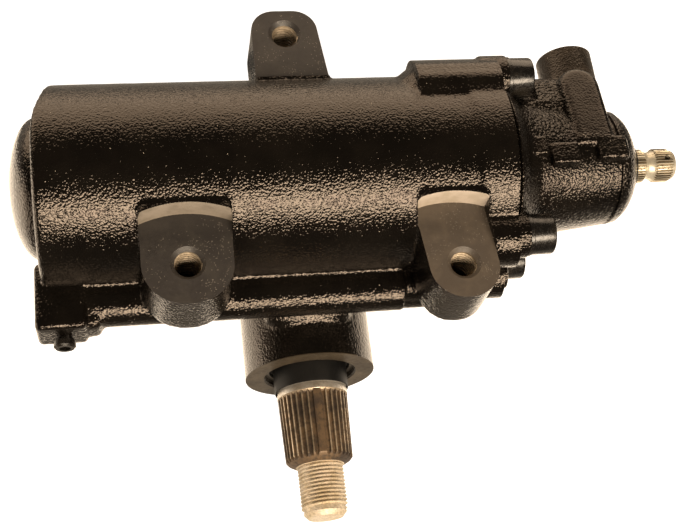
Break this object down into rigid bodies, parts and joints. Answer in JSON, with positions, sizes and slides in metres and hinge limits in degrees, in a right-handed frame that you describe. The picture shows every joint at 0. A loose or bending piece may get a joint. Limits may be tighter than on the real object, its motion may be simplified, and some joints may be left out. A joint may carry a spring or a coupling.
{
  "type": "power steering gearbox",
  "caption": "Cast power steering gear with a recirculating-ball worm, rack piston and toothed sector that turns a splined pitman shaft.",
  "frame": {"origin": "on the surface that the gear lies on, under the middle of its box", "axes": "+X along the worm towards the input shaft, +Y away from the pitman shaft's end, +Z out of the lug faces"},
  "size_m": [0.3242, 0.229, 0.1465],
  "materials": {
    "black_casting": "gloss black paint over rough sand-cast iron",
    "black_screws": "smooth satin black paint",
    "pitman_steel": "bare ground steel with oil stains",
    "input_steel": "bare pale machined steel",
    "machined_steel": "machined and oiled",
    "bearing_steel": "ground and polished",
    "spring_steel": "phosphated spring steel",
    "bearing_bronze": "machined bronze",
    "black_rubber": "moulded nitrile rubber",
    "white_ptfe": "turned seal plastic",
    "gasket_fibre": "compressed fibre"
  },
  "bodies": {
    "housing": {"gear_housing": "black_casting", "valve_housing": "black_casting", "valve_housing_screws": "black_screws", "valve_housing_seal": "black_rubber", "gallery_seal": "black_rubber", "gallery_plug": "black_casting", "side_cover": "black_casting", "side_cover_gasket": "gasket_fibre", "side_cover_bolts": "black_screws", "sector_cover_bush": "bearing_bronze", "lash_adjuster_screw": "black_screws", "adjuster_shim": "bearing_steel", "adjuster_locknut": "black_screws", "sector_needle_bearing": "bearing_steel", "sector_oil_seal": "black_rubber", "sector_backup_washer": "bearing_steel", "sector_dust_seal": "black_rubber", "sector_snap_ring": "spring_steel", "worm_bearing_retainer": "machined_steel", "lower_thrust_bearing": "bearing_steel", "upper_thrust_bearing": "bearing_steel", "input_needle_bearing": "bearing_steel", "input_shaft_seal": "black_rubber", "input_snap_ring": "spring_steel", "input_dust_seal": "black_rubber", "pressure_port_seat": "bearing_bronze", "return_port_seat": "bearing_bronze"},
    "worm": {"worm_shaft": "machined_steel", "valve_sleeve": "machined_steel", "sleeve_rings": "white_ptfe", "sleeve_drive_pin": "machined_steel", "torsion_bar": "machined_steel", "torsion_bar_worm_pin": "machined_steel"},
    "input": {"input_shaft": "input_steel", "torsion_bar_input_pin": "machined_steel"},
    "piston": {"piston_rack": "machined_steel", "piston_ring": "white_ptfe", "piston_ring_backup": "black_rubber", "piston_end_plug": "machined_steel", "recirculating_balls": "bearing_steel", "ball_return_guide": "machined_steel", "guide_clamp": "machined_steel", "guide_clamp_screws": "machined_steel"},
    "sector": {"sector_shaft": "pitman_steel"}
  },
  "joints": [
    {"name": "worm_turn", "type": "hinge", "parent": "housing", "child": "worm", "pos_m": [-0.0246, 0.0365, 0.098], "axis": [1, 0, 0], "range_deg": [-765, 765]},
    {"name": "input_twist", "type": "hinge", "parent": "worm", "child": "input", "pos_m": [-0.0246, 0.0365, 0.098], "axis": [1, 0, 0], "range_deg": [-7, 7], "stiffness_Nm_per_rad": 60},
    {"name": "piston_slide", "type": "slide", "parent": "housing", "child": "piston", "axis": [1, 0, 0], "range_m": [-0.02475, 0.02475]},
    {"name": "sector_swing", "type": "hinge", "parent": "housing", "child": "sector", "pos_m": [-0.0246, 0.0365, 0.042], "axis": [0, 1, 0], "range_deg": [-45.05, 45.05]}
  ],
  "couplings": [
    {"joint": "piston_slide", "follows": "worm_turn", "m_per_rad": -0.0018529},
    {"joint": "sector_swing", "follows": "worm_turn", "ratio": -0.058824}
  ]
}
